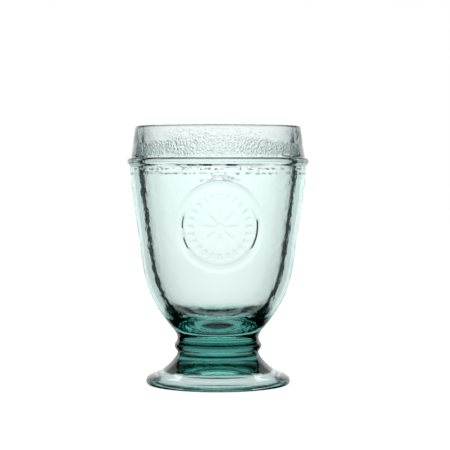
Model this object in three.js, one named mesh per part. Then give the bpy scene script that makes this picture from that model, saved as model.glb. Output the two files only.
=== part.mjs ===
// A footed tumbler of thick recycled glass, stood upright: foot, knop, bowl, rim thread and seal.
// Millimetres, +Z up. The origin is the centre of the resting ring, on the table.
// The seal, a round moulded medallion, faces -Y.
import * as THREE from "three";
import { mergeVertices } from "three/addons/utils/BufferGeometryUtils.js";

// Driving dimensions of the foot
const FOOT_RADIUS = 36.15;
const FOOT_HEIGHT = 16;
const FOOT_EDGE_ROUND = 1.75; // under the widest circle
const FOOT_SHOULDER_HEIGHT = 4; // over the widest circle
const FOOT_SHOULDER_WIDTH = 4.8;
const RESTING_RING_WIDTH = 4.4;
const FOOT_HOLLOW_DEPTH = 8.5;

// Driving dimensions of the neck, where foot, knop and bowl meet
const NECK_RADIUS = 20.45;
const KNOP_HEIGHT = 7.25;
const KNOP_PROUD = 1.5; // how far the ring stands out of the neck
const KNOP_RING_HEIGHT = 3.25; // the ring's widest circle, over the foot

// Driving dimensions of the bowl
const NECK_FILLET_HEIGHT = 7.65;
const NECK_FILLET_WIDTH = 4.85;
const BELLY_HEIGHT = 36.2;
const BELLY_RADIUS = 38.95;
const WALL_HEIGHT = 41.65;
const WALL_TOP_RADIUS = 44.2;
const RIM_BAND_HEIGHT = 15.65;
const RIM_BAND_RADIUS = 43.5; // at its foot, just over the thread
const LIP_RADIUS = 41.45;
const LIP_THICKNESS = 3.7;
const LIP_ROUND = 1.3;
const WALL_TOP_THICKNESS = 6.9;
const BELLY_THICKNESS = 6.5;
const FLOOR_THICKNESS = 6.3;

// Driving dimensions of the thread of glass round the rim
const THREAD_HEIGHT = 4.6;
const THREAD_PROUD = 1.25; // over the wall below it
const THREAD_SEAT_DEPTH = 1.2; // how deep it lies in the wall
const FUSED_CLEARANCE = 0.05; // between glass pieces that were fused while hot

// Driving dimensions of the seal
const SEAL_RADIUS = 22.4;
const SEAL_BELOW_THREAD = 6.5;
const SEAL_BORDER_WIDTH = 3.7;
const SEAL_BORDER_PROUD = 0.95;
const SEAL_BORDER_STEP = 0.45; // how wide its steep inside is
const SEAL_BORDER_ROUND = 1.6; // how wide its soft outside is
const SEAL_EDGE = 0.25; // the plate's thickness at its edge
const SEAL_FIELD_PROUD = 0.45;
const SEAL_RELIEF = 0.3; // of the marks and petals, over the field
const SEAL_CLEARANCE = 0.1;
const SEAL_MARKS = 24;
const SEAL_MARK_LENGTH = 3.6;
const SEAL_MARK_MARGIN = 1.75; // between the marks and the border
const SEAL_MARK_SLOPE = 0.2; // how wide the marks' sloping ends are
const SEAL_PETALS = 8;
const SEAL_PETAL_MARGIN = 2.4; // between the petals and the marks
const SEAL_BOSS_RADIUS = 1.6;

// Slopes of the outline, as radius gained for each millimetre of height
const NECK_CONE_SLOPE = 0.815;
const BELLY_TOP_SLOPE = 0.118;
const WALL_TOP_SLOPE = 0.049;
const FOOT_SHOULDER_SLOPE = 0.32; // height lost for each millimetre of radius

// How long each curve keeps the direction of its end, as a share of its own width or height
const HOLLOW_CROWN = 0.6;
const HOLLOW_SIDE = 0.95;
const HOLLOW_RISE = 0.4;
const FLARE_START = 0.47;
const FLARE_END = 0.2;
const KNOP_START = 0.35;
const KNOP_BULGE_BELOW = 0.5;
const KNOP_BULGE_ABOVE = 0.4;
const KNOP_END = 0.5;
const FILLET_START = 0.24;
const FILLET_END = 0.6;
const CONE_START = 0.38;
const BELLY_BELOW = 0.29;
const BELLY_ABOVE = 0.27;
const WALL_END = 0.31;
const INSIDE_WALL = 0.3;
const FLOOR_CURVE_DROP = 0.76;
const FLOOR_FLAT = 0.54;
const THREAD_START = 0.2;
const THREAD_BULGE_BELOW = 0.34;
const THREAD_BULGE_ABOVE = 0.24;
const THREAD_END = 0.7;
const THREAD_WIDEST = 0.53; // the level of the thread's widest circle, in its own height

// How finely round shapes are cut
const TURN_STEPS = 60;
const BELLY_STEPS = 9;
const SHORT_CURVE_STEPS = 4;
const STEPS_PER_MARK = 4;
const PETAL_RINGS = 4;
const BORDER_ROUND_STEPS = 3;
const SEAL_BACK_RINGS = 5;

// Levels, stacked from the table up
const neckLevel = FOOT_HEIGHT;
const bowlLevel = neckLevel + KNOP_HEIGHT;
const coneLevel = bowlLevel + NECK_FILLET_HEIGHT;
const bellyLevel = coneLevel + BELLY_HEIGHT;
const threadLevel = bellyLevel + WALL_HEIGHT;
const rimLevel = threadLevel + THREAD_HEIGHT;
const lipLevel = rimLevel + RIM_BAND_HEIGHT;

const point = (radius, height) => new THREE.Vector2(radius, height);

// Points of a cubic curve after its start, which the line before it has already given.
function curve(start, startHandle, endHandle, end, steps) {
  return new THREE.CubicBezierCurve(start, startHandle, endHandle, end).getPoints(steps).slice(1);
}

// Points of a rounded corner after its start.
function corner(start, tip, end, steps = SHORT_CURVE_STEPS) {
  return new THREE.QuadraticBezierCurve(start, tip, end).getPoints(steps).slice(1);
}

// A profile of radius and height, turned about the vertical axis.
function turned(profile) {
  return new THREE.LatheGeometry(profile, TURN_STEPS).rotateX(Math.PI / 2);
}

function glass(color, roughness) {
  return new THREE.MeshStandardMaterial({
    color,
    roughness,
    metalness: 0,
    transparent: true,
    opacity: 0.45,
    side: THREE.DoubleSide,
  });
}

// The foot: a flared disc with a rounded edge, a flat resting ring and a domed hollow under it.
function footGeometry() {
  const edge = FOOT_EDGE_ROUND;
  const restRadius = FOOT_RADIUS - edge;
  const hollowRadius = restRadius - RESTING_RING_WIDTH;
  const widest = point(FOOT_RADIUS, edge);
  const shoulder = point(FOOT_RADIUS - FOOT_SHOULDER_WIDTH, edge + FOOT_SHOULDER_HEIGHT);
  const flareStart = (shoulder.x - NECK_RADIUS) * FLARE_START;
  const top = point(NECK_RADIUS, neckLevel);
  const rest = point(restRadius, 0);
  return turned([
    point(0, FOOT_HOLLOW_DEPTH),
    ...curve(
      point(0, FOOT_HOLLOW_DEPTH),
      point(hollowRadius * HOLLOW_CROWN, FOOT_HOLLOW_DEPTH),
      point(hollowRadius * HOLLOW_SIDE, FOOT_HOLLOW_DEPTH * HOLLOW_RISE),
      point(hollowRadius, 0),
      BELLY_STEPS,
    ),
    rest,
    ...corner(rest, point(FOOT_RADIUS, 0), widest),
    ...corner(
      widest,
      point(FOOT_RADIUS, shoulder.y - FOOT_SHOULDER_WIDTH * FOOT_SHOULDER_SLOPE),
      shoulder,
    ),
    ...curve(
      shoulder,
      point(shoulder.x - flareStart, shoulder.y + flareStart * FOOT_SHOULDER_SLOPE),
      point(NECK_RADIUS, neckLevel - (neckLevel - shoulder.y) * FLARE_END),
      top,
      BELLY_STEPS,
    ),
    point(0, neckLevel),
  ]);
}

// The knop: a short solid neck with one ring round it, between the foot and the bowl.
function knopGeometry() {
  const base = point(NECK_RADIUS, neckLevel);
  const ring = point(NECK_RADIUS + KNOP_PROUD, neckLevel + KNOP_RING_HEIGHT);
  const top = point(NECK_RADIUS, bowlLevel);
  const below = KNOP_RING_HEIGHT;
  const above = KNOP_HEIGHT - KNOP_RING_HEIGHT;
  return turned([
    point(0, neckLevel),
    base,
    ...curve(
      base,
      point(base.x, base.y + below * KNOP_START),
      point(ring.x, ring.y - below * KNOP_BULGE_BELOW),
      ring,
      SHORT_CURVE_STEPS,
    ),
    ...curve(
      ring,
      point(ring.x, ring.y + above * KNOP_BULGE_ABOVE),
      point(top.x, top.y - above * KNOP_END),
      top,
      SHORT_CURVE_STEPS,
    ),
    point(0, bowlLevel),
  ]);
}

// The outside of the bowl from the neck up to the thread: a hollow fillet, the belly and the wall.
function bowlOutside() {
  const base = point(NECK_RADIUS, bowlLevel);
  const cone = point(NECK_RADIUS + NECK_FILLET_WIDTH, coneLevel);
  const belly = point(BELLY_RADIUS, bellyLevel);
  const top = point(WALL_TOP_RADIUS, threadLevel);
  const filletRise = NECK_FILLET_HEIGHT * FILLET_END;
  const coneRise = BELLY_HEIGHT * CONE_START;
  const bellyDrop = BELLY_HEIGHT * BELLY_BELOW;
  const wallRise = WALL_HEIGHT * BELLY_ABOVE;
  const wallDrop = WALL_HEIGHT * WALL_END;
  return [
    base,
    ...curve(
      base,
      point(base.x, base.y + NECK_FILLET_HEIGHT * FILLET_START),
      point(cone.x - filletRise * NECK_CONE_SLOPE, cone.y - filletRise),
      cone,
      SHORT_CURVE_STEPS,
    ),
    ...curve(
      cone,
      point(cone.x + coneRise * NECK_CONE_SLOPE, cone.y + coneRise),
      point(belly.x - bellyDrop * BELLY_TOP_SLOPE, belly.y - bellyDrop),
      belly,
      BELLY_STEPS,
    ),
    ...curve(
      belly,
      point(belly.x + wallRise * BELLY_TOP_SLOPE, belly.y + wallRise),
      point(top.x - wallDrop * WALL_TOP_SLOPE, top.y - wallDrop),
      top,
      SHORT_CURVE_STEPS,
    ),
  ];
}

// The inside of the bowl from the lip down to the middle of the floor.
function bowlInside() {
  const lip = point(LIP_RADIUS - LIP_THICKNESS, lipLevel - LIP_ROUND);
  const wallTop = point(WALL_TOP_RADIUS - WALL_TOP_THICKNESS, threadLevel);
  const belly = point(BELLY_RADIUS - BELLY_THICKNESS, bellyLevel);
  const floor = point(0, bowlLevel + FLOOR_THICKNESS);
  const wallDrop = WALL_HEIGHT * INSIDE_WALL;
  const bellyDrop = (belly.y - floor.y) * FLOOR_CURVE_DROP;
  return [
    lip,
    wallTop,
    ...curve(
      wallTop,
      point(wallTop.x - wallDrop * WALL_TOP_SLOPE, wallTop.y - wallDrop),
      point(belly.x + wallDrop * BELLY_TOP_SLOPE, belly.y + wallDrop),
      belly,
      SHORT_CURVE_STEPS,
    ),
    ...curve(
      belly,
      point(belly.x - bellyDrop * BELLY_TOP_SLOPE, belly.y - bellyDrop),
      point(belly.x * FLOOR_FLAT, floor.y),
      floor,
      BELLY_STEPS,
    ),
  ];
}

// The bowl: floor, belly, wall and rim band in one piece, with the seat of the thread cut round it.
function bowlGeometry() {
  const seatRadius = WALL_TOP_RADIUS - THREAD_SEAT_DEPTH;
  const lipOutside = point(LIP_RADIUS, lipLevel - LIP_ROUND);
  const lipTop = point(LIP_RADIUS - LIP_ROUND, lipLevel);
  const lipTopInside = point(LIP_RADIUS - LIP_THICKNESS + LIP_ROUND, lipLevel);
  const inside = bowlInside();
  return turned([
    point(0, bowlLevel),
    ...bowlOutside(),
    point(seatRadius, threadLevel),
    point(seatRadius, rimLevel),
    point(RIM_BAND_RADIUS, rimLevel),
    lipOutside,
    ...corner(lipOutside, point(LIP_RADIUS, lipLevel), lipTop),
    lipTopInside,
    ...corner(lipTopInside, point(LIP_RADIUS - LIP_THICKNESS, lipLevel), inside[0]),
    ...inside.slice(1),
  ]);
}

// The rim thread: a ring of half-round section, laid in its seat round the bowl.
function threadGeometry() {
  const insideRadius = WALL_TOP_RADIUS - THREAD_SEAT_DEPTH + FUSED_CLEARANCE;
  const topLevel = rimLevel - FUSED_CLEARANCE;
  const bottom = point(WALL_TOP_RADIUS, threadLevel);
  const widest = point(WALL_TOP_RADIUS + THREAD_PROUD, threadLevel + THREAD_HEIGHT * THREAD_WIDEST);
  const top = point(RIM_BAND_RADIUS, topLevel);
  return turned([
    point(insideRadius, threadLevel),
    bottom,
    ...curve(
      bottom,
      point(bottom.x, bottom.y + THREAD_HEIGHT * THREAD_START),
      point(widest.x, widest.y - THREAD_HEIGHT * THREAD_BULGE_BELOW),
      widest,
      SHORT_CURVE_STEPS,
    ),
    ...curve(
      widest,
      point(widest.x, widest.y + THREAD_HEIGHT * THREAD_BULGE_ABOVE),
      point(top.x + (widest.x - top.x) * THREAD_END, top.y),
      top,
      SHORT_CURVE_STEPS,
    ),
    point(insideRadius, topLevel),
    point(insideRadius, threadLevel),
  ]);
}

// The radius of the bowl's outside at a height, read along its outline.
const outside = bowlOutside();
function wallRadius(height) {
  const above = Math.max(
    1,
    outside.findIndex((p) => p.y >= height),
  );
  const high = outside[above];
  const low = outside[above - 1];
  return low.x + ((high.x - low.x) * (height - low.y)) / (high.y - low.y);
}

// The height of the seal's front over the wall, at a place on its face.
const borderInside = SEAL_RADIUS - SEAL_BORDER_WIDTH;
const fieldRadius = borderInside - SEAL_BORDER_STEP;
const markOutside = fieldRadius - SEAL_MARK_MARGIN;
const markInside = markOutside - SEAL_MARK_LENGTH;
const petalOutside = markInside - SEAL_PETAL_MARGIN;
function sealRelief(distance, turnStep) {
  const inMark = turnStep % STEPS_PER_MARK < STEPS_PER_MARK / 2;
  if (distance >= markInside && distance <= markOutside) {
    return SEAL_FIELD_PROUD + (inMark ? SEAL_RELIEF : 0);
  }
  if (distance <= SEAL_BOSS_RADIUS) return SEAL_FIELD_PROUD + SEAL_RELIEF;
  const along = (distance - SEAL_BOSS_RADIUS) / (petalOutside - SEAL_BOSS_RADIUS);
  if (along >= 1) return SEAL_FIELD_PROUD;
  const across = Math.cos((turnStep / (SEAL_MARKS * STEPS_PER_MARK)) * SEAL_PETALS * 2 * Math.PI);
  return SEAL_FIELD_PROUD + SEAL_RELIEF * Math.sin(along * Math.PI) * Math.max(0, across);
}

// The seal: a round plate that follows the bowl's wall, with a raised border, a ring of plain
// marks and a petalled rosette. Its rings of points run from the middle of the face over the
// border, round the edge and back to the middle behind.
function sealGeometry() {
  const centreLevel = threadLevel - SEAL_BELOW_THREAD - SEAL_RADIUS;
  const turnSteps = SEAL_MARKS * STEPS_PER_MARK;
  const petalStep = (petalOutside - SEAL_BOSS_RADIUS) / PETAL_RINGS;
  const face = [
    ...Array.from({ length: PETAL_RINGS }, (_, ring) => SEAL_BOSS_RADIUS + petalStep * ring),
    petalOutside,
    markInside - SEAL_MARK_SLOPE,
    markInside,
    markOutside,
    markOutside + SEAL_MARK_SLOPE,
    fieldRadius,
  ].map((distance) => ({ distance, proud: (step) => sealRelief(distance, step) }));
  const level = (distance, proud) => ({ distance, proud: () => proud });
  const rings = [...face, level(borderInside, SEAL_BORDER_PROUD)];
  for (let step = 0; step <= BORDER_ROUND_STEPS; step++) {
    const share = step / BORDER_ROUND_STEPS;
    const fall = THREE.MathUtils.smoothstep(share, 0, 1);
    const proud = THREE.MathUtils.lerp(SEAL_BORDER_PROUD, SEAL_CLEARANCE + SEAL_EDGE, fall);
    rings.push(level(SEAL_RADIUS - SEAL_BORDER_ROUND * (1 - share), proud));
  }
  for (let ring = SEAL_BACK_RINGS; ring > 0; ring--) {
    rings.push(level((SEAL_RADIUS * ring) / SEAL_BACK_RINGS, SEAL_CLEARANCE));
  }

  const positions = [];
  const place = (distance, angle, proud) => {
    const height = centreLevel + distance * Math.sin(angle);
    const radius = wallRadius(height) + proud;
    const turn = (distance * Math.cos(angle)) / wallRadius(height);
    positions.push(radius * Math.sin(turn), -radius * Math.cos(turn), height);
  };
  rings.forEach((ring) => {
    for (let step = 0; step < turnSteps; step++) {
      place(ring.distance, (step / turnSteps) * 2 * Math.PI, ring.proud(step));
    }
  });
  const frontMiddle = rings.length * turnSteps;
  const backMiddle = frontMiddle + 1;
  place(0, 0, SEAL_FIELD_PROUD + SEAL_RELIEF);
  place(0, 0, SEAL_CLEARANCE);

  const faces = [];
  for (let step = 0; step < turnSteps; step++) {
    const next = (step + 1) % turnSteps;
    faces.push(frontMiddle, step, next);
    rings.slice(1).forEach((_, index) => {
      const inner = index * turnSteps;
      const outer = inner + turnSteps;
      faces.push(inner + step, outer + step, outer + next);
      faces.push(inner + step, outer + next, inner + next);
    });
    const last = (rings.length - 1) * turnSteps;
    faces.push(backMiddle, last + next, last + step);
  }
  const geometry = new THREE.BufferGeometry();
  geometry.setAttribute("position", new THREE.Float32BufferAttribute(positions, 3));
  geometry.setIndex(faces);
  const closed = mergeVertices(geometry, 1e-4);
  closed.computeVertexNormals();
  return closed;
}

function piece(name, geometry, material) {
  const mesh = new THREE.Mesh(geometry, material);
  mesh.name = name;
  return mesh;
}

const tumbler = new THREE.Group();
tumbler.name = "footed_tumbler";
tumbler.add(
  piece("foot", footGeometry(), glass(0x2f8f84, 0.06)),
  piece("knop", knopGeometry(), glass(0x1f7c72, 0.06)),
  piece("bowl", bowlGeometry(), glass(0xa9d8d0, 0.05)),
  piece("rim_thread", threadGeometry(), glass(0x8cc9c0, 0.05)),
  piece("seal", sealGeometry(), glass(0xbfe5de, 0.08)),
);

export default tumbler;
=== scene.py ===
import math

import bmesh
import bpy
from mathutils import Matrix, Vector


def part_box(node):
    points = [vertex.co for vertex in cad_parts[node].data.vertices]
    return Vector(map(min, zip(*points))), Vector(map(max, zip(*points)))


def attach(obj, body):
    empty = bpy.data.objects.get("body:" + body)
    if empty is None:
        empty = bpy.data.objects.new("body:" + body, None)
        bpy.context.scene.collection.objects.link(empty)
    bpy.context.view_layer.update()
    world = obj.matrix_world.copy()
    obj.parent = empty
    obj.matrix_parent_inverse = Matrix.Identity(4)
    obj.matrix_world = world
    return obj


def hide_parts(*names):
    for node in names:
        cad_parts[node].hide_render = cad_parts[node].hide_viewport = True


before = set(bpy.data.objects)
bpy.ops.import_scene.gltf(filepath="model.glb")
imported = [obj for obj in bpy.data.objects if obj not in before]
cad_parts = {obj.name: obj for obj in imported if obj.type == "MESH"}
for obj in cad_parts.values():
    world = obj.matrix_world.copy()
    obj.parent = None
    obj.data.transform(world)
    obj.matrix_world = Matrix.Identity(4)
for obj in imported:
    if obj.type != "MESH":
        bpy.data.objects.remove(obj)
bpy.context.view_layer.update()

# Camera
# A long lens level with the thread of glass round the rim, a little to the left of the
# medallion's middle, so the lip and the resting ring show as nearly flat ellipses.
MM = 0.001
image_width = 450  # pixels, and so are the next three
focal_length = 1750
eye_line_over_middle = 65  # the eye's own level lies this far above the picture's middle
axis_left_of_middle = 7  # and the tumbler's axis this far to the left of it
camera_distance = 0.875
eye_level = 112 * MM
camera_swing = math.radians(1.4)

camera = bpy.data.objects.new("camera", bpy.data.cameras.new("camera"))
camera.data.sensor_fit = "HORIZONTAL"
camera.data.angle = 2 * math.atan(image_width / 2 / focal_length)
camera.location = (
    -camera_distance * math.sin(camera_swing),
    -camera_distance * math.cos(camera_swing),
    eye_level,
)
camera.rotation_euler = (
    math.pi / 2 - math.atan(eye_line_over_middle / focal_length),
    0,
    -camera_swing - math.atan(axis_left_of_middle / focal_length),
)
bpy.context.scene.collection.objects.link(camera)
bpy.context.scene.camera = camera


# Backdrop
# A white card curved round the back of the tumbler, brightest across its middle and cut off
# softly at both sides. The camera does not see it. Glass does, and the dark beyond its edges
# draws the dark lines of the walls. It lights the table too. It is fixed to the camera, so it
# stands behind the tumbler from every side. Its edges and light were set to match the
# brightness that was measured in the photograph, so it is no plain studio card.
card_radius = 0.70
card_half_turn = math.radians(43.5)
card_fade = math.radians(2)
card_low = -0.40  # measured upwards from the lens's own axis, as the card's other heights are
card_middle_low = -0.33  # the middle ends sooner than the sides
card_low_from, card_low_to = math.radians(18), math.radians(32)
card_low_fade = 0.12
card_top = 0.28  # the bright part ends here, and dimmer wings go on upwards
card_top_fade = 0.05
card_high = 0.55
wing_start, wing_full = math.radians(8), math.radians(20)
wing_strength = 0.45
card_strength = 1.28
card_side_strength = 0.82
card_brightens = 1.0  # for each metre upwards
card_steps = 40


def material(name):
    """A new material and its node tree, still empty."""
    made = bpy.data.materials.new(name)
    made.use_nodes = True
    made.node_tree.nodes.clear()
    return made, made.node_tree


def feed(tree, value, socket):
    """Gives a socket a plain value, or links it to the output of another node."""
    if isinstance(value, bpy.types.NodeSocket):
        tree.links.new(value, socket)
    else:
        socket.default_value = value


def node(tree, kind, *values, operation=None, **named):
    """Adds a node and feeds its sockets: the first ones in their order, the others by name."""
    made = tree.nodes.new(kind)
    if operation:
        made.operation = operation
    for value, socket in zip(values, made.inputs):
        feed(tree, value, socket)
    for name, value in named.items():
        feed(tree, value, made.inputs[name.replace("_", " ")])
    return made


def calc(tree, operation, *values):
    """The result of one step of arithmetic."""
    return node(tree, "ShaderNodeMath", *values, operation=operation).outputs["Value"]


def product(tree, result, *others):
    """The product of two or more values."""
    for other in others:
        result = calc(tree, "MULTIPLY", result, other)
    return result


def smooth_step(tree, value, start, end, low=0.0, high=1.0):
    """Runs softly from low to high while value goes from start to end."""
    made = node(tree, "ShaderNodeMapRange", value, start, end, low, high)
    made.interpolation_type = "SMOOTHSTEP"
    return made.outputs["Result"]


def object_place(tree):
    """The place on the object that is being painted."""
    return tree.nodes.new("ShaderNodeTexCoord").outputs["Object"]


def split(tree, vector):
    """The parts X, Y and Z of a vector."""
    return node(tree, "ShaderNodeSeparateXYZ", vector).outputs


def link(name, mesh):
    """Puts a mesh into the scene as an object at the origin."""
    made = bpy.data.objects.new(name, mesh)
    bpy.context.scene.collection.objects.link(made)
    return made


def sheet(name, points, faces, paint):
    """A plain sheet of the studio, with its paint."""
    mesh = bpy.data.meshes.new(name)
    mesh.from_pydata(points, [], faces)
    mesh.materials.append(paint)
    return link(name, mesh)


card_paint, tree = material("lit white card")
place = split(tree, object_place(tree))
depth = calc(tree, "SUBTRACT", -camera_distance, place["Z"])
turn = calc(tree, "ABSOLUTE", calc(tree, "ARCTAN2", place["X"], depth))
height = place["Y"]
dimmed = smooth_step(tree, turn, 0.0, card_half_turn, card_strength, card_side_strength)
glow = smooth_step(tree, turn, card_half_turn - card_fade, card_half_turn, dimmed, 0.0)
bottom = smooth_step(tree, turn, card_low_from, card_low_to, card_middle_low, card_low)
low_glow = smooth_step(tree, height, bottom, calc(tree, "ADD", bottom, card_low_fade))
wings = smooth_step(tree, turn, wing_start, wing_full, 0.0, wing_strength)
high_glow = smooth_step(tree, height, card_top - card_top_fade, card_top, 1.0, wings)
upwards = calc(tree, "MULTIPLY_ADD", height, card_brightens, 1.0)
glow = product(tree, glow, low_glow, high_glow, upwards)
shine = node(tree, "ShaderNodeEmission", Strength=glow)
node(tree, "ShaderNodeOutputMaterial", Surface=shine.outputs[0])

card_points = []
for step in range(card_steps + 1):
    turn = card_half_turn * (2 * step / card_steps - 1)
    across = card_radius * math.sin(turn)
    behind = camera_distance + card_radius * math.cos(turn)
    card_points += [(across, card_low, -behind), (across, card_high, -behind)]
card_faces = [(2 * i, 2 * i + 1, 2 * i + 3, 2 * i + 2) for i in range(card_steps)]
card = sheet("backdrop_card", card_points, card_faces, card_paint)
card.parent = camera
card.visible_camera = False
card.visible_shadow = False


# Floor
# A pale table top that runs on out of sight. It is white to the eye and keeps the tumbler's
# soft shadow. Glass sees only a painted glowing ring of it under the foot, with painted shade
# in the middle, and looks through it past that ring. The ring too was set to match the photograph.
floor_reach = 3.0
floor_below_foot = 0.2 * MM  # so that the two never share a plane
floor_color = (0.8, 0.8, 0.8, 1)
floor_glow = 0.88
far_floor_glow = 1.0
shadow_reach = 80 * MM
far_floor = 400 * MM
glow_inside = 12 * MM  # within this radius glass sees painted shade on the table
glow_outside = 20 * MM
glow_end = 33 * MM
glow_fade = 1 * MM
# painted shade and painted glow: how bright glass sees the table under the foot and round it
painted_shade_under_foot = 0.05
painted_ring_glow = 0.85
square = ((-1, -1), (1, -1), (1, 1), (-1, 1))
square_face = (0, 1, 2, 3)

floor_paint, tree = material("white table top")
reach = node(tree, "ShaderNodeVectorMath", object_place(tree), operation="LENGTH").outputs["Value"]
# painted shade in the middle and a painted glowing ring round it, seen only by glass
ring = smooth_step(tree, reach, glow_inside, glow_outside, painted_shade_under_foot, painted_ring_glow)
painted_glow_ring = node(tree, "ShaderNodeEmission", Strength=ring).outputs[0]
nothing = tree.nodes.new("ShaderNodeBsdfTransparent").outputs[0]
beyond = smooth_step(tree, reach, glow_end - glow_fade, glow_end)
glass_sees = node(tree, "ShaderNodeMixShader", beyond, painted_glow_ring, nothing).outputs[0]
coat = node(tree, "ShaderNodeBsdfDiffuse", Color=floor_color).outputs[0]
glow = smooth_step(tree, reach, shadow_reach, far_floor, floor_glow, far_floor_glow)
pale_glow = node(tree, "ShaderNodeEmission", Strength=glow).outputs[0]
eye_sees = node(tree, "ShaderNodeAddShader", coat, pale_glow).outputs[0]
by_eye = tree.nodes.new("ShaderNodeLightPath").outputs["Is Camera Ray"]
seen = node(tree, "ShaderNodeMixShader", by_eye, glass_sees, eye_sees).outputs[0]
node(tree, "ShaderNodeOutputMaterial", Surface=seen)

floor_points = [(x * floor_reach, y * floor_reach, 0) for x, y in square]
floor = sheet("floor", floor_points, [square_face], floor_paint)
floor.location.z = -floor_below_foot


# Light
# One broad soft lamp overhead, which glass does not see, a lit panel high behind the tumbler
# for its thick glass to catch, and a dim room. The panel is fixed to the camera and seen only
# by glass, and the room is white to the eye alone.
white = (1, 1, 1, 1)
room_light = 0.004
room_to_the_eye = 1.0
lamp_size = 0.6
lamp_height = 0.9
lamp_forward = 0.1
lamp_power = 6.0
panel_distance = 0.8
panel_rise = math.radians(45)
panel_width, panel_depth = 0.75, 0.6
panel_strength = 2.4
glass_bounces = 24
mirror_bounces = 16
hidden_faces = 64  # how many fused faces a ray may pass

lamp = bpy.data.objects.new("overhead_lamp", bpy.data.lights.new("overhead_lamp", "AREA"))
lamp.data.shape = "SQUARE"
lamp.data.size = lamp_size
lamp.data.energy = lamp_power
lamp.location = (0, -lamp_forward, lamp_height)
lamp.visible_glossy = False
lamp.visible_transmission = False
bpy.context.scene.collection.objects.link(lamp)

panel_paint, tree = material("lit high panel")
shine = node(tree, "ShaderNodeEmission", Strength=panel_strength)
node(tree, "ShaderNodeOutputMaterial", Surface=shine.outputs[0])
panel_points = []
for x, y in square:
    up = panel_distance * math.sin(panel_rise) + y * panel_depth / 2 * math.cos(panel_rise)
    away = panel_distance * math.cos(panel_rise) - y * panel_depth / 2 * math.sin(panel_rise)
    panel_points.append((x * panel_width / 2, up, -camera_distance - away))
panel = sheet("high_panel", panel_points, [square_face], panel_paint)
panel.parent = camera
panel.visible_camera = False
panel.visible_shadow = False
panel.visible_diffuse = False

world = bpy.data.worlds.new("studio")
world.use_nodes = True
bpy.context.scene.world = world
tree = world.node_tree
by_eye = tree.nodes.new("ShaderNodeLightPath").outputs["Is Camera Ray"]
level = smooth_step(tree, by_eye, 0.0, 1.0, room_light, room_to_the_eye)
room = tree.nodes["Background"]
room.inputs["Color"].default_value = white
tree.links.new(level, room.inputs["Strength"])

scene = bpy.context.scene
scene.view_settings.view_transform = "Standard"
scene.cycles.max_bounces = glass_bounces
scene.cycles.transmission_bounces = glass_bounces
scene.cycles.glossy_bounces = mirror_bounces
scene.cycles.transparent_max_bounces = hidden_faces


# Foot
# A flared disc of solid recycled glass, pressed with a domed hollow under it that leaves
# a flat ring to stand on. Its top is fused to the knop, so that face is not seen.
foot_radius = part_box("foot")[1].x
neck_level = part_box("foot")[1].z
edge_round = 1.75 * MM
shoulder_height = 4 * MM
shoulder_width = 4.8 * MM
shoulder_slope = 0.32
resting_ring_width = 4.4 * MM
hollow_depth = 8.5 * MM
neck_radius = 20.45 * MM
# Shares of a curve's own width or height: how far each end of it keeps its slope
flare_start, flare_end = 0.47, 0.2
hollow_crown, hollow_side, hollow_rise = 0.6, 0.95, 0.4
hollow_roughness = 0.15

row_height = 0.8 * MM
least_rows = 8
turn_steps = 192
crease = math.radians(35)
fused_gap = 0.01 * MM  # left open between two fused faces
touching = 1e-8  # metres, and points nearer than this are one

glass_ior = 1.52
base_tint = (0.10, 0.58, 0.53, 1)
base_density = 71.0


def curve(*controls):
    """Points of the curve with these control points, about one row apart."""
    reach = sum(math.dist(a, b) for a, b in zip(controls, controls[1:]))
    steps = max(least_rows, math.ceil(reach / row_height))
    points = []
    for step in range(steps + 1):
        level = controls
        while len(level) > 1:
            level = [
                tuple(p + (q - p) * step / steps for p, q in zip(a, b))
                for a, b in zip(level, level[1:])
            ]
        points.append(level[0])
    return points


def outside(*controls):
    """A stretch of bare glass on the outside of a piece, along this curve."""
    return "outside", curve(*controls)


def inside(*controls):
    """A stretch of bare glass in a hollow."""
    return "inside", curve(*controls)


def fused(*controls):
    """A stretch that is one with the next piece of glass, so it is not seen."""
    return "fused", curve(*controls)


def turned(name, *shells):
    """A piece turned about the upright axis, of one or more closed shells, each a list of
    stretches. Its faces carry bare, 0 where they are fused, and solid, the number of their
    shell. Its points carry inside, 1 in a hollow."""
    body = bmesh.new()
    bare = body.faces.layers.float.new("bare")
    solid = body.faces.layers.float.new("solid")
    hollow = body.verts.layers.float.new("inside")
    for number, stretches in enumerate(shells):
        last = None
        for kind, points in stretches:
            for radius, height in points if last is None else points[1:]:
                if radius < touching:
                    ring = [body.verts.new((0, 0, height))] * turn_steps
                else:
                    ring = [
                        body.verts.new((radius * math.cos(turn), radius * math.sin(turn), height))
                        for turn in (2 * math.pi * step / turn_steps for step in range(turn_steps))
                    ]
                for corner in set(ring):
                    corner[hollow] = float(kind == "inside")
                if last:
                    for step in range(turn_steps):
                        following = (step + 1) % turn_steps
                        corners = [last[step], last[following], ring[following], ring[step]]
                        face = body.faces.new(list(dict.fromkeys(corners)))
                        face[bare] = float(kind != "fused")
                        face[solid] = float(number)
                        face.smooth = True
                last = ring
    bmesh.ops.remove_doubles(body, verts=body.verts, dist=touching)
    bmesh.ops.recalc_face_normals(body, faces=body.faces)
    mesh = bpy.data.meshes.new(name)
    body.to_mesh(mesh)
    body.free()
    mesh.set_sharp_from_angle(angle=crease)
    return link(name, mesh)


def carried(tree, name):
    """The value of this name that the mesh carries."""
    made = tree.nodes.new("ShaderNodeAttribute")
    made.attribute_name = name
    return made.outputs["Fac"]


def glass(name, tint, density):
    """Clear glass that takes its colour from its thickness and is not seen where it is fused.
    Gives the material, its tree and its shader."""
    made, tree = material(name)
    surface = node(
        tree,
        "ShaderNodeBsdfPrincipled",
        Base_Color=white,
        Roughness=0.0,
        IOR=glass_ior,
        Transmission_Weight=1.0,
        Alpha=carried(tree, "bare"),
    )
    depth = node(tree, "ShaderNodeVolumeAbsorption", Color=tint, Density=density)
    node(tree, "ShaderNodeOutputMaterial", Surface=surface.outputs[0], Volume=depth.outputs[0])
    return made, tree, surface


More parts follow.
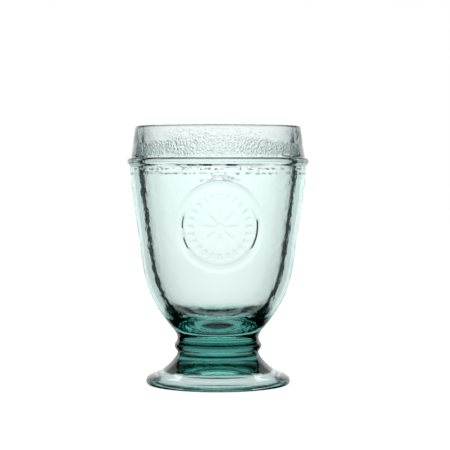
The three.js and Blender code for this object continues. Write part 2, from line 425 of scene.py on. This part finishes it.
def place_glass(piece, paint, part):
    """Puts a finished piece in the frame for its CAD node, in this glass if it has none yet."""
    if not piece.data.materials:
        piece.data.materials.append(paint)
    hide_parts(part)
    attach(piece, "root")


rest_radius = foot_radius - edge_round
hollow_radius = rest_radius - resting_ring_width
shoulder = (foot_radius - shoulder_width, edge_round + shoulder_height)
flare_width = shoulder[0] - neck_radius
flare_height = neck_level - shoulder[1]
foot = turned(
    "foot",
    [
        inside(
            (0, hollow_depth),
            (hollow_radius * hollow_crown, hollow_depth),
            (hollow_radius * hollow_side, hollow_depth * hollow_rise),
            (hollow_radius, 0),
        ),
        outside((hollow_radius, 0), (rest_radius, 0)),
        outside((rest_radius, 0), (foot_radius, 0), (foot_radius, edge_round)),
        outside(
            (foot_radius, edge_round),
            (foot_radius, shoulder[1] - shoulder_width * shoulder_slope),
            shoulder,
        ),
        outside(
            shoulder,
            (
                shoulder[0] - flare_width * flare_start,
                shoulder[1] + flare_width * flare_start * shoulder_slope,
            ),
            (neck_radius, neck_level - flare_height * flare_end),
            (neck_radius, neck_level - fused_gap),
        ),
        fused((neck_radius, neck_level - fused_gap), (0, neck_level - fused_gap)),
    ],
)
dense_glass, tree, surface = glass("dense recycled glass", base_tint, base_density)
feed(tree, product(tree, carried(tree, "inside"), hollow_roughness), surface.inputs["Roughness"])
place_glass(foot, dense_glass, "foot")


# Knop
# The solid neck between foot and bowl, with one ring pressed round it. Both its ends are
# fused, so the neck reads as one clear piece of glass.
bowl_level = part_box("knop")[1].z
knop_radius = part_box("knop")[1].x
ring_below = 3.25 * MM  # from the foot up to the ring's widest circle
ring_above = bowl_level - neck_level - ring_below
knop_start, knop_end = 0.35, 0.5  # shares of the curves, as the foot's are
knop_bulge_below, knop_bulge_above = 0.5, 0.4

knop_ring = (knop_radius, neck_level + ring_below)
knop = turned(
    "knop",
    [
        fused((0, neck_level), (neck_radius, neck_level)),
        outside(
            (neck_radius, neck_level),
            (neck_radius, neck_level + ring_below * knop_start),
            (knop_radius, knop_ring[1] - ring_below * knop_bulge_below),
            knop_ring,
        ),
        outside(
            knop_ring,
            (knop_radius, knop_ring[1] + ring_above * knop_bulge_above),
            (neck_radius, bowl_level - ring_above * knop_end),
            (neck_radius, bowl_level - fused_gap),
        ),
        fused((neck_radius, bowl_level - fused_gap), (0, bowl_level - fused_gap)),
    ],
)
place_glass(knop, dense_glass, "knop")


# Bowl
# The thick-walled bowl, with a seat round it for the thread. Its solid base is a second shell
# of denser glass, fused to the first, and its outside is stained low down. The real glass is
# most likely one glass throughout: both were set to match the photograph's deep teal. The
# inside is rippled, and grained round the rim.
lip_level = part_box("bowl")[1].z
thread_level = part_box("rim_thread")[0].z
rim_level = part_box("rim_thread")[1].z
fillet_height, fillet_width = 7.65 * MM, 4.85 * MM
belly_height, belly_radius = 36.2 * MM, 38.95 * MM
wall_top_radius = 44.2 * MM
rim_band_radius = 43.5 * MM
lip_radius, lip_thickness, lip_round = 41.45 * MM, 3.7 * MM, 1.3 * MM
wall_top_thickness, belly_thickness = 6.9 * MM, 6.5 * MM
floor_thickness = 6.3 * MM
thread_seat = 1.2 * MM
cone_slope, belly_slope, wall_slope = 0.815, 0.118, 0.049  # radius gained for each height
fillet_start, fillet_end = 0.24, 0.6
cone_start, belly_below, belly_above = 0.38, 0.29, 0.27
wall_end, inside_wall = 0.31, 0.3
floor_curve_drop, floor_flat = 0.76, 0.54
base_top_gap = 0.2 * MM  # least glass between the cavity's floor and the denser base
inside_radius = belly_radius - 1 * MM  # the cavity lies within it, and the wall's face does not
seal_low, seal_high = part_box("seal")[0].z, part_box("seal")[1].z
seal_radius = (seal_high - seal_low) / 2
seal_level = (seal_high + seal_low) / 2

wall_tint = (0.235, 0.72, 0.635, 1)
wall_density = 24.0
solid_density = 60.0
base_stain = (0.60, 0.95, 0.93, 1)
low_stain = (0.11, 0.62, 0.58, 1)
stain_low, stain_high = 29 * MM, 37 * MM  # between these levels it fades out

noise_middle = 0.5
ripple_depth = 0.16 * MM
ripple_size = 3.2 * MM
ripple_seed = 3.0
skin_size = 2.0 * MM
skin_weight = 0.05
wrinkle_depth = 0.8 * MM
wrinkle_roughness = 0.07
wrinkle_waver = 1.5 * MM  # how far the lines and the patch stray up and down
gap_fade = 0.12  # of the wide noise, from a gap to full grain
all_round = 1.0
widest_patch = 50 * MM  # anything wider than this goes on round the back
eased_from, eased_to = 16 * MM, 34 * MM  # between these the grain falls off to the sides

rim_marks_low, rim_marks_top = 115 * MM, 122.5 * MM
rim_marks_fade = 1.5 * MM
rim_waver = 4 * MM
rim_grain_size = 1 * MM
rim_gap_size = 8 * MM
rim_gaps = -0.28  # it is left out where the wide noise lies under this level
rim_arch = 3.0  # how much sooner its top ends to the sides, for each metre squared
rim_sides = 0.3  # how much of the grain is left at the sides
rim_weight = 1.05

dot_lines = ((107.8 * MM, 1.6 * MM), (105.6 * MM, 1.9 * MM))  # the level and gap size of each
dot_line_width = 0.5 * MM
dot_line_fade = 0.3 * MM
dot_size = 0.6 * MM
line_gaps = 0.0
line_weight = 1.5

patch_low, patch_top = 102 * MM, 105 * MM
patch_fade = 0.5 * MM
patch_half_width = 9 * MM
patch_grain_size = 0.7 * MM
patch_gap_size = 4 * MM
patch_gaps = -0.1
patch_arch = 30.0
patch_weight = 1.0


def rising(start, slope, height):
    """The point reached from start by climbing that height along a slope of the outline."""
    return (start[0] + slope * height, start[1] + height)


cone = (neck_radius + fillet_width, bowl_level + fillet_height)
belly = (belly_radius, cone[1] + belly_height)
wall_top = (wall_top_radius, thread_level)
wall_height = thread_level - belly[1]
fillet_rows = curve(
    (neck_radius, bowl_level),
    (neck_radius, bowl_level + fillet_height * fillet_start),
    rising(cone, cone_slope, -fillet_height * fillet_end),
    cone,
)
belly_rows = curve(
    cone,
    rising(cone, cone_slope, belly_height * cone_start),
    rising(belly, belly_slope, -belly_height * belly_below),
    belly,
)
side_rows = curve(
    belly,
    rising(belly, belly_slope, wall_height * belly_above),
    rising(wall_top, wall_slope, -wall_height * wall_end),
    wall_top,
)
seat_radius = wall_top_radius - thread_seat
lip_outside = (lip_radius, lip_level - lip_round)
lip_inside = (lip_radius - lip_thickness, lip_level - lip_round)
lip_flat = [(lip_radius - lip_round, lip_level), (lip_inside[0] + lip_round, lip_level)]
inner_top = (wall_top_radius - wall_top_thickness, thread_level)
inner_belly = (belly_radius - belly_thickness, belly[1])
inner_floor = (0, bowl_level + floor_thickness)
floor_drop = (inner_belly[1] - inner_floor[1]) * floor_curve_drop
base_rows = [point for point in fillet_rows if point[1] < inner_floor[1] - base_top_gap]
base_top = base_rows[-1]
wall_foot = (base_top[0], base_top[1] + fused_gap)

bowl = turned(
    "bowl",
    [
        fused((0, wall_foot[1]), wall_foot),
        ("outside", [wall_foot] + fillet_rows[len(base_rows):]),
        ("outside", belly_rows),
        ("outside", side_rows),
        fused(wall_top, (seat_radius, thread_level)),
        fused((seat_radius, thread_level), (seat_radius, rim_level)),
        fused((seat_radius, rim_level), (rim_band_radius, rim_level)),
        outside((rim_band_radius, rim_level), lip_outside),
        outside(lip_outside, (lip_radius, lip_level), lip_flat[0]),
        outside(*lip_flat),
        outside(lip_flat[1], (lip_inside[0], lip_level), lip_inside),
        inside(lip_inside, inner_top),
        inside(
            inner_top,
            rising(inner_top, wall_slope, -wall_height * inside_wall),
            rising(inner_belly, belly_slope, wall_height * inside_wall),
            inner_belly,
        ),
        inside(
            inner_belly,
            rising(inner_belly, belly_slope, -floor_drop),
            (inner_belly[0] * floor_flat, inner_floor[1]),
            inner_floor,
        ),
    ],
    [
        fused((0, bowl_level), (neck_radius, bowl_level)),
        ("outside", base_rows),
        fused(base_top, (0, base_top[1])),
    ],
)


def effect(name, inputs, outputs):
    """A shader node group with these numbers in and out, and what it is given."""
    group = bpy.data.node_groups.new(name, "ShaderNodeTree")
    for title in inputs:
        group.interface.new_socket(title, in_out="INPUT", socket_type="NodeSocketFloat")
    for title in outputs:
        group.interface.new_socket(title, in_out="OUTPUT", socket_type="NodeSocketFloat")
    return group, group.nodes.new("NodeGroupInput").outputs


def with_effect(tree, group, **values):
    """Places an effect in a material, with its own values, and gives its results."""
    made = tree.nodes.new("ShaderNodeGroup")
    made.node_tree = group
    for name, value in values.items():
        feed(tree, value, made.inputs[name.replace("_", " ")])
    return made.outputs


def noise(tree, where, size, seed=None):
    """Noise that swings about 0 in waves of this size."""
    made = node(tree, "ShaderNodeTexNoise", Vector=where, Scale=calc(tree, "DIVIDE", 1.0, size))
    if seed:
        made.noise_dimensions = "4D"
        feed(tree, seed, made.inputs["W"])
    return calc(tree, "SUBTRACT", made.outputs["Fac"], noise_middle)


def slant(tree, across, up):
    """The length of a line that goes this far across and this far up."""
    squares = calc(tree, "ADD", product(tree, across, across), product(tree, up, up))
    return calc(tree, "SQRT", squares)


def mixed(tree, share, first, second):
    """The colour that lies this share of the way from the first to the second."""
    made = tree.nodes.new("ShaderNodeMix")
    made.data_type = "RGBA"
    sockets = {socket.identifier: socket for socket in (*made.inputs, *made.outputs)}
    feed(tree, share, sockets["Factor_Float"])
    feed(tree, first, sockets["A_Color"])
    feed(tree, second, sockets["B_Color"])
    return sockets["Result_Color"]


under_seal, given = effect("Under the seal", ["Level", "Radius", "Inside radius"], ["Open"])
place = split(under_seal, object_place(under_seal))
toward_eye = calc(under_seal, "MULTIPLY", place["Y"], -1.0)
around = calc(under_seal, "ARCTAN2", place["X"], toward_eye)
reach = slant(under_seal, place["X"], place["Y"])
across = product(under_seal, around, reach)
up = calc(under_seal, "SUBTRACT", place["Z"], given["Level"])
past = calc(under_seal, "GREATER_THAN", slant(under_seal, across, up), given["Radius"])
within = calc(under_seal, "LESS_THAN", reach, given["Inside radius"])
node(under_seal, "NodeGroupOutput", Open=calc(under_seal, "MAXIMUM", past, within))

wrinkles, given = effect(
    "Wrinkled skin",
    ["Bottom", "Top", "Fade", "Half width", "Size", "Waver", "Gap size", "Gaps", "Arch", "Sides"],
    ["Height", "Cover"],
)
spot = object_place(wrinkles)
place = split(wrinkles, spot)
wide = noise(wrinkles, spot, given["Gap size"])
level = calc(wrinkles, "MULTIPLY_ADD", wide, given["Waver"], place["Z"])
below = calc(wrinkles, "SUBTRACT", given["Bottom"], given["Fade"])
above = calc(wrinkles, "ADD", given["Top"], given["Fade"])
begun = smooth_step(wrinkles, level, below, given["Bottom"])
bend = product(wrinkles, place["X"], place["X"], given["Arch"])
ended = smooth_step(wrinkles, calc(wrinkles, "ADD", level, bend), given["Top"], above, 1.0, 0.0)
side = calc(wrinkles, "ABSOLUTE", place["X"])
far_side = calc(wrinkles, "ADD", given["Half width"], given["Fade"])
near = smooth_step(wrinkles, side, given["Half width"], far_side, 1.0, 0.0)
eased = smooth_step(wrinkles, side, eased_from, eased_to, 1.0, given["Sides"])
in_front = calc(wrinkles, "LESS_THAN", place["Y"], 0.0)
goes_round = calc(wrinkles, "GREATER_THAN", given["Half width"], widest_patch)
facing = calc(wrinkles, "MAXIMUM", in_front, goes_round)
gap_end = calc(wrinkles, "ADD", given["Gaps"], gap_fade)
unbroken = smooth_step(wrinkles, wide, given["Gaps"], gap_end)
cover = product(wrinkles, begun, ended, near, eased, facing, unbroken)
grain = noise(wrinkles, spot, given["Size"])
node(wrinkles, "NodeGroupOutput", Height=product(wrinkles, grain, cover), Cover=cover)

clear_glass = glass("clear recycled glass", wall_tint, wall_density)[0]
base_glass, tree, surface = glass("solid base glass", base_tint, solid_density)
surface.inputs["Base Color"].default_value = base_stain

bowl_glass, tree, surface = glass("bowl glass", wall_tint, wall_density)
is_open = with_effect(
    tree, under_seal, Level=seal_level, Radius=seal_radius, Inside_radius=inside_radius
)["Open"]
feed(tree, product(tree, carried(tree, "bare"), is_open), surface.inputs["Alpha"])

marks = [
    (
        rim_weight,
        with_effect(
            tree,
            wrinkles,
            Bottom=rim_marks_low,
            Top=rim_marks_top,
            Fade=rim_marks_fade,
            Half_width=all_round,
            Size=rim_grain_size,
            Waver=rim_waver,
            Gap_size=rim_gap_size,
            Gaps=rim_gaps,
            Arch=rim_arch,
            Sides=rim_sides,
        ),
    ),
]
for level, gap_size in dot_lines:
    dots = with_effect(
        tree,
        wrinkles,
        Bottom=level,
        Top=level + dot_line_width,
        Fade=dot_line_fade,
        Half_width=all_round,
        Size=dot_size,
        Waver=wrinkle_waver,
        Gap_size=gap_size,
        Gaps=line_gaps,
        Sides=1.0,
    )
    marks.append((line_weight, dots))
patch = with_effect(
    tree,
    wrinkles,
    Bottom=patch_low,
    Top=patch_top,
    Fade=patch_fade,
    Half_width=patch_half_width,
    Size=patch_grain_size,
    Waver=wrinkle_waver,
    Gap_size=patch_gap_size,
    Gaps=patch_gaps,
    Arch=patch_arch,
    Sides=1.0,
)
marks.append((patch_weight, patch))

spot = object_place(tree)
hollow = carried(tree, "inside")
height = product(tree, noise(tree, spot, skin_size), skin_weight)
cover = 0.0
for weight, mark in marks:
    height = calc(tree, "MULTIPLY_ADD", mark["Height"], weight, height)
    cover = calc(tree, "ADD", mark["Cover"], cover)
feed(tree, product(tree, cover, hollow, wrinkle_roughness), surface.inputs["Roughness"])
bump = node(tree, "ShaderNodeBump", Height=product(tree, height, hollow), Distance=wrinkle_depth)
feed(tree, bump.outputs["Normal"], surface.inputs["Normal"])
low_down = smooth_step(tree, split(tree, spot)["Z"], stain_low, stain_high, 1.0, 0.0)
outer = calc(tree, "SUBTRACT", 1.0, hollow)
stain = mixed(tree, product(tree, low_down, outer), white, low_stain)
feed(tree, stain, surface.inputs["Base Color"])


def geometry_tree(name, inputs):
    """A Geometry Nodes tree for a mesh, with these numbers as inputs, and what it is given."""
    tree = bpy.data.node_groups.new(name, "GeometryNodeTree")
    tree.interface.new_socket("Mesh", in_out="INPUT", socket_type="NodeSocketGeometry")
    tree.interface.new_socket("Mesh", in_out="OUTPUT", socket_type="NodeSocketGeometry")
    for title in inputs:
        tree.interface.new_socket(title, in_out="INPUT", socket_type="NodeSocketFloat")
    return tree, tree.nodes.new("NodeGroupInput").outputs


def mesh_value(tree, name, kind="FLOAT"):
    """The value of this name that the mesh of a Geometry Nodes tree carries."""
    made = node(tree, "GeometryNodeInputNamedAttribute", Name=name)
    made.data_type = kind
    return made.outputs["Attribute"]


def move_along(tree, mesh, direction, amount):
    """Moves each point of the mesh by this amount along a direction."""
    step = node(tree, "ShaderNodeVectorMath", direction, operation="SCALE", Scale=amount)
    moved = node(tree, "GeometryNodeSetPosition", Geometry=mesh, Offset=step.outputs[0])
    return moved.outputs[0]


def finish_tree(tree, mesh, paint, solid_paint=None):
    """Ends a tree as every tree here ends: instances made real and the materials set."""
    mesh = node(tree, "GeometryNodeRealizeInstances", Geometry=mesh).outputs[0]
    mesh = node(tree, "GeometryNodeSetMaterial", Geometry=mesh, Material=paint).outputs[0]
    if solid_paint:
        base = node(tree, "GeometryNodeSetMaterial", Geometry=mesh, Material=solid_paint)
        feed(tree, mesh_value(tree, "solid"), base.inputs["Selection"])
        mesh = base.outputs[0]
    node(tree, "NodeGroupOutput", Mesh=mesh)


def shape_with(piece, tree, values):
    """Runs a tree on a piece with these input values and keeps the result as its mesh."""
    modifier = piece.modifiers.new(tree.name, "NODES")
    modifier.node_group = tree
    for socket in tree.interface.items_tree:
        if socket.in_out == "INPUT" and socket.name in values:
            modifier[socket.identifier] = values[socket.name]
    held = bpy.context.evaluated_depsgraph_get()
    mesh = bpy.data.meshes.new_from_object(piece.evaluated_get(held), depsgraph=held)
    piece.modifiers.clear()
    piece.data = mesh


ripples, given = geometry_tree("Plunger ripples", ["Depth", "Size", "Seed"])
spot = ripples.nodes.new("GeometryNodeInputPosition").outputs[0]
wave = noise(ripples, spot, given["Size"], given["Seed"])
height = product(ripples, wave, given["Depth"], mesh_value(ripples, "inside"))
outward = ripples.nodes.new("GeometryNodeInputNormal").outputs[0]
rippled = move_along(ripples, given["Mesh"], outward, height)
finish_tree(ripples, rippled, bowl_glass, base_glass)
shape_with(bowl, ripples, {"Depth": ripple_depth, "Size": ripple_size, "Seed": ripple_seed})
place_glass(bowl, bowl_glass, "bowl")


# Rim thread
# A thread of glass of half-round section, in its seat round the bowl. Only its round outside
# face is bare.
thread_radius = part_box("rim_thread")[1].x
thread_height = rim_level - thread_level
thread_start, thread_end = 0.2, 0.7
thread_bulge_below, thread_bulge_above = 0.34, 0.24
thread_widest = 0.53  # the level of its widest circle, in its own height

thread_proud = thread_radius - rim_band_radius
thread_back = seat_radius + fused_gap
thread_bottom = thread_level + fused_gap
thread_top = rim_level - fused_gap
widest = (thread_radius, thread_level + thread_height * thread_widest)
thread = turned(
    "rim_thread",
    [
        fused((thread_back, thread_bottom), (wall_top_radius, thread_bottom)),
        outside(
            (wall_top_radius, thread_bottom),
            (wall_top_radius, thread_level + thread_height * thread_start),
            (thread_radius, widest[1] - thread_height * thread_bulge_below),
            widest,
        ),
        outside(
            widest,
            (thread_radius, widest[1] + thread_height * thread_bulge_above),
            (rim_band_radius + thread_proud * thread_end, thread_top),
            (rim_band_radius, thread_top),
        ),
        fused((rim_band_radius, thread_top), (thread_back, thread_top)),
        fused((thread_back, thread_top), (thread_back, thread_bottom)),
    ],
)
place_glass(thread, clear_glass, "rim_thread")


# Seal
# A round plate of glass pressed on the front of the wall, whose shape it follows. A soft
# border stands round a ring of plain strokes and a petalled rosette. Its back is fused.
border_width = 3.7 * MM
border_proud = 0.5 * MM
crisp_proud = 0.95 * MM
border_step = 0.7 * MM  # how wide the inside of the border is where it came out crisp
soft_step = 1.6 * MM  # and everywhere else
crisp_arcs = ((172, 7), (205, 6), (348.5, 20))  # the middle and half width of each, in degrees
arc_fade = 6  # degrees
border_round = 2.2 * MM  # its soft outside
ridge_width = 1.5 * MM  # of the low ridge along a crisp arc
unevenness = 0.5 * MM
wobble_size = 1 / 120  # metres
field_proud = 0.25 * MM
relief = 0.24 * MM
strokes = 24
stroke_length = 3.6 * MM
stroke_margin = 1.75 * MM  # from the strokes to the border
stroke_opens, stroke_full = -0.5, 0.7  # on a wave that rises and falls once for each stroke
petals = 8
petal_margin = 2.4 * MM  # from the petals to the strokes
boss_radius = 1.6 * MM
softness = 0.75 * MM  # of the edges of everything on the field
seal_rings = 110
seal_turns = 384
seal_off_wall = 2 * fused_gap
profile = fillet_rows + belly_rows + side_rows


def wall_radius(height):
    """The radius of the bowl's outside at a height."""
    for low, high in zip(profile, profile[1:]):
        if high[1] > low[1] and low[1] <= height <= high[1]:
            return low[0] + (high[0] - low[0]) * (height - low[1]) / (high[1] - low[1])
    return profile[-1][0]


def on_wall(distance, turn):
    """A place on the wall, given from the seal's middle, and its outward direction."""
    height = seal_level + distance * math.sin(turn)
    radius = wall_radius(height)
    across = distance * math.cos(turn) / radius
    outward = Vector((math.sin(across), -math.cos(across), 0))
    return outward * (radius + seal_off_wall) + Vector((0, 0, height)), outward


plate = bmesh.new()
bare = plate.faces.layers.float.new("bare")
front = plate.verts.layers.float.new("front")
from_middle = plate.verts.layers.float.new("distance")
round_middle = plate.verts.layers.float.new("turn")
away = plate.verts.layers.float_vector.new("outward")
layers = []
for is_front in (1.0, 0.0):
    rings = []
    for ring in range(seal_rings + 1):
        distance = seal_radius * ring / seal_rings
        corners = []
        for step in range(seal_turns if ring else 1):
            turn = 2 * math.pi * step / seal_turns
            place, outward = on_wall(distance, turn)
            corner = plate.verts.new(place)
            corner[front] = is_front
            corner[from_middle] = distance
            corner[round_middle] = turn
            corner[away] = outward
            corners.append(corner)
        rings.append(corners if ring else corners * seal_turns)
    layers.append(rings)
layers[1][-1] = layers[0][-1]
for rings, is_bare in zip(layers, (1.0, 0.0)):
    for inner_ring, outer_ring in zip(rings, rings[1:]):
        for step in range(seal_turns):
            following = (step + 1) % seal_turns
            corners = [inner_ring[step], outer_ring[step], outer_ring[following], inner_ring[following]]
            face = plate.faces.new(list(dict.fromkeys(corners)))
            face[bare] = is_bare
            face.smooth = True
            if not is_bare:
                face.normal_flip()
for loose in [corner for corner in plate.verts if not corner.link_faces]:
    plate.verts.remove(loose)
seal_mesh = bpy.data.meshes.new("seal")
plate.to_mesh(seal_mesh)
plate.free()
seal = link("seal", seal_mesh)

seal_values = {
    "Radius": seal_radius,
    "Border width": border_width,
    "Border proud": border_proud,
    "Crisp proud": crisp_proud,
    "Border step": border_step,
    "Soft step": soft_step,
    "Border round": border_round,
    "Ridge width": ridge_width,
    "Unevenness": unevenness,
    "Field proud": field_proud,
    "Relief": relief,
    "Strokes": float(strokes),
    "Stroke length": stroke_length,
    "Stroke margin": stroke_margin,
    "Petals": float(petals),
    "Petal margin": petal_margin,
    "Boss radius": boss_radius,
    "Softness": softness,
}
reliefs, given = geometry_tree("Seal relief", seal_values)
distance = mesh_value(reliefs, "distance")
turn = mesh_value(reliefs, "turn")
border_inside = calc(reliefs, "SUBTRACT", given["Radius"], given["Border width"])
spot = reliefs.nodes.new("GeometryNodeInputPosition").outputs[0]
waver = product(reliefs, noise(reliefs, spot, wobble_size), given["Unevenness"])
uneven = calc(reliefs, "ADD", distance, waver)
crisp = 0.0
for middle, half_width in crisp_arcs:
    off = calc(reliefs, "SUBTRACT", turn, math.radians(middle))
    off = calc(reliefs, "ARCCOSINE", calc(reliefs, "COSINE", off))
    arc_end = math.radians(half_width + arc_fade)
    arc = smooth_step(reliefs, off, math.radians(half_width), arc_end, 1.0, 0.0)
    crisp = calc(reliefs, "MAXIMUM", arc, crisp)
step_width = smooth_step(reliefs, crisp, 0.0, 1.0, given["Soft step"], given["Border step"])
step_start = calc(reliefs, "SUBTRACT", border_inside, step_width)
ridge_end = calc(reliefs, "ADD", border_inside, given["Ridge width"])
ridge = smooth_step(reliefs, uneven, border_inside, ridge_end, 1.0, 0.0)
more = calc(reliefs, "SUBTRACT", given["Crisp proud"], given["Border proud"])
crest = calc(reliefs, "ADD", given["Border proud"], product(reliefs, more, crisp, ridge))
rise = smooth_step(reliefs, uneven, step_start, border_inside, given["Field proud"], crest)
edge = calc(reliefs, "SUBTRACT", given["Radius"], given["Border round"])
fall = smooth_step(reliefs, distance, edge, given["Radius"], 1.0, 0.0)
ground = product(reliefs, rise, fall)

border_foot = calc(reliefs, "SUBTRACT", border_inside, given["Border step"])
stroke_end = calc(reliefs, "SUBTRACT", border_foot, given["Stroke margin"])
stroke_start = calc(reliefs, "SUBTRACT", stroke_end, given["Stroke length"])
start_full = calc(reliefs, "ADD", stroke_start, given["Softness"])
end_full = calc(reliefs, "SUBTRACT", stroke_end, given["Softness"])
opens = smooth_step(reliefs, distance, stroke_start, start_full)
closes = smooth_step(reliefs, distance, end_full, stroke_end, 1.0, 0.0)
beat = calc(reliefs, "COSINE", product(reliefs, turn, given["Strokes"]))
stroke = product(reliefs, opens, closes, smooth_step(reliefs, beat, stroke_opens, stroke_full))

petal_end = calc(reliefs, "SUBTRACT", stroke_start, given["Petal margin"])
petal_reach = calc(reliefs, "SUBTRACT", petal_end, given["Boss radius"])
past_boss = calc(reliefs, "SUBTRACT", distance, given["Boss radius"])
along = calc(reliefs, "DIVIDE", past_boss, petal_reach)
along = calc(reliefs, "MINIMUM", calc(reliefs, "MAXIMUM", along, 0.0), 1.0)
swell = calc(reliefs, "SINE", product(reliefs, along, math.pi))
fan = calc(reliefs, "COSINE", product(reliefs, turn, given["Petals"]))
petal = product(reliefs, swell, calc(reliefs, "MAXIMUM", fan, 0.0))
boss_end = calc(reliefs, "ADD", given["Boss radius"], given["Softness"])
boss = smooth_step(reliefs, distance, given["Boss radius"], boss_end, 1.0, 0.0)
pattern = calc(reliefs, "MAXIMUM", calc(reliefs, "MAXIMUM", stroke, petal), boss)
height = calc(reliefs, "ADD", ground, product(reliefs, pattern, given["Relief"]))
height = product(reliefs, height, mesh_value(reliefs, "front"))
outward = mesh_value(reliefs, "outward", "FLOAT_VECTOR")
finish_tree(reliefs, move_along(reliefs, given["Mesh"], outward, height), clear_glass)
shape_with(seal, reliefs, seal_values)
place_glass(seal, clear_glass, "seal")
